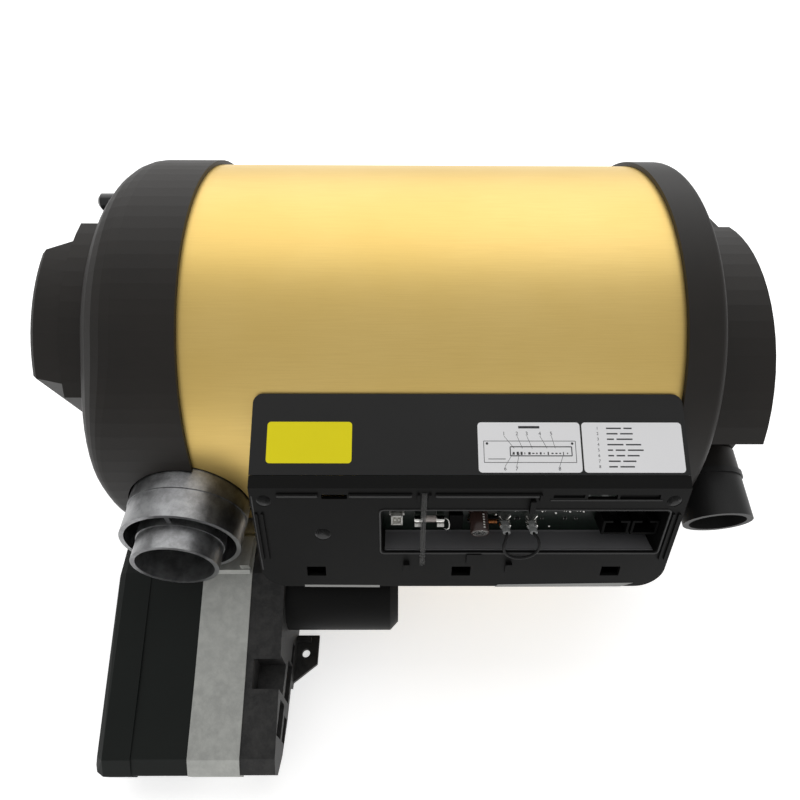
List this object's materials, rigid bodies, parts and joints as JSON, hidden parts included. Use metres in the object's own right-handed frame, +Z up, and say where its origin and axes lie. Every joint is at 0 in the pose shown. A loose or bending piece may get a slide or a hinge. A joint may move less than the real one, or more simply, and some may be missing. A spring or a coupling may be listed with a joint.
{
  "type": "combi heater",
  "caption": "Horizontal drum heater for air and water with end covers, warm-air outlets, concentric flue, side burner unit and open-fronted control box.",
  "frame": {"origin": "centre of the bounding box on the floor plane", "axes": "+X along the drum to the warm-air end, -Y the front with flue and control box, +Z up"},
  "size_m": [0.5094, 0.4483, 0.3038],
  "materials": {
    "gold": "gold-coloured sheet, fine brushed grain along the drum",
    "foam": "moulded foam",
    "stainless": "satin",
    "steel": "plated, satin",
    "cast_aluminium": "as cast, mottled",
    "dark_casting": "dark cast metal",
    "dark_metal": "satin paint",
    "cover_plastic": "fine-grained moulded plastic",
    "box_plastic": "satin moulded plastic",
    "black_plastic": "moulded plastic",
    "brown_sleeve": "shrunk sleeve of a capacitor",
    "board_green": "circuit board with a lacquer",
    "fuse_glass": "glass tube with metal ends",
    "tin": "tinned spring metal",
    "copper": "lacquered copper winding",
    "brass": "machined",
    "clear_plastic": "milky clear plastic",
    "white_plastic": "moulded",
    "red_plastic": "moulded",
    "wire_black": "insulated wire",
    "cap_rubber": "glossy rubber"
  },
  "bodies": {
    "root": {"gold_jacket": "gold", "insulation_shell": "foam", "water_tank": "stainless", "heat_exchanger": "cast_aluminium", "combustion_tube": "stainless", "left_cover": "cover_plastic", "fan_hood": "cover_plastic", "intake_grille": "cover_plastic", "inlet_ring": "black_plastic", "fan_motor": "dark_metal", "motor_bracket": "dark_metal", "right_cover": "cover_plastic", "air_manifold": "cover_plastic", "warm_air_outlets": "black_plastic", "flue_connection": "cast_aluminium", "cover_ring": "black_plastic", "blower_housing": "black_plastic", "burner_casting": "cast_aluminium", "end_casting": "dark_casting", "blower_motor": "black_plastic", "front_foot": "dark_casting", "glow_plug": "steel", "fuel_nipple": "brass", "box_lid": "box_plastic", "box_tray": "box_plastic", "circuit_board": "board_green", "fuse": "fuse_glass", "fuse_clips": "tin", "window_strap": "clear_plastic", "choke": "copper", "capacitor": "brown_sleeve", "relay": "black_plastic", "sensor_socket": "white_plastic", "power_tabs": "clear_plastic", "jumper_wire": "wire_black", "control_sockets": "black_plastic", "wire_clip": "clear_plastic", "water_nipples": "steel", "rear_feet": "steel"},
    "fan": {"circulation_fan": "black_plastic", "fan_shaft": "steel"},
    "blower": {"blower_wheel": "cast_aluminium", "wheel_shaft": "steel"},
    "cold_cap": {"cold_water_cap": "cap_rubber"},
    "hot_cap": {"hot_water_cap": "cap_rubber"},
    "button": {"reset_button": "red_plastic"}
  },
  "joints": [
    {"name": "fan_spin", "type": "hinge", "parent": "root", "child": "fan", "pos_m": [-0.22, 0.075, 0.1535], "axis": [1, 0, 0], "continuous": true},
    {"name": "blower_spin", "type": "hinge", "parent": "root", "child": "blower", "pos_m": [-0.16, -0.103, 0.0575], "axis": [1, 0, 0], "continuous": true},
    {"name": "cold_cap_pull", "type": "slide", "parent": "root", "child": "cold_cap", "axis": [-1, 0, 0], "range_m": [0, 0.024]},
    {"name": "hot_cap_pull", "type": "slide", "parent": "root", "child": "hot_cap", "axis": [-1, 0, 0], "range_m": [0, 0.024]},
    {"name": "button_press", "type": "slide", "parent": "root", "child": "button", "axis": [-1, 0, 0], "range_m": [0, 0.0016], "stiffness_N_per_m": 400, "springref_m": -0.001}
  ]
}
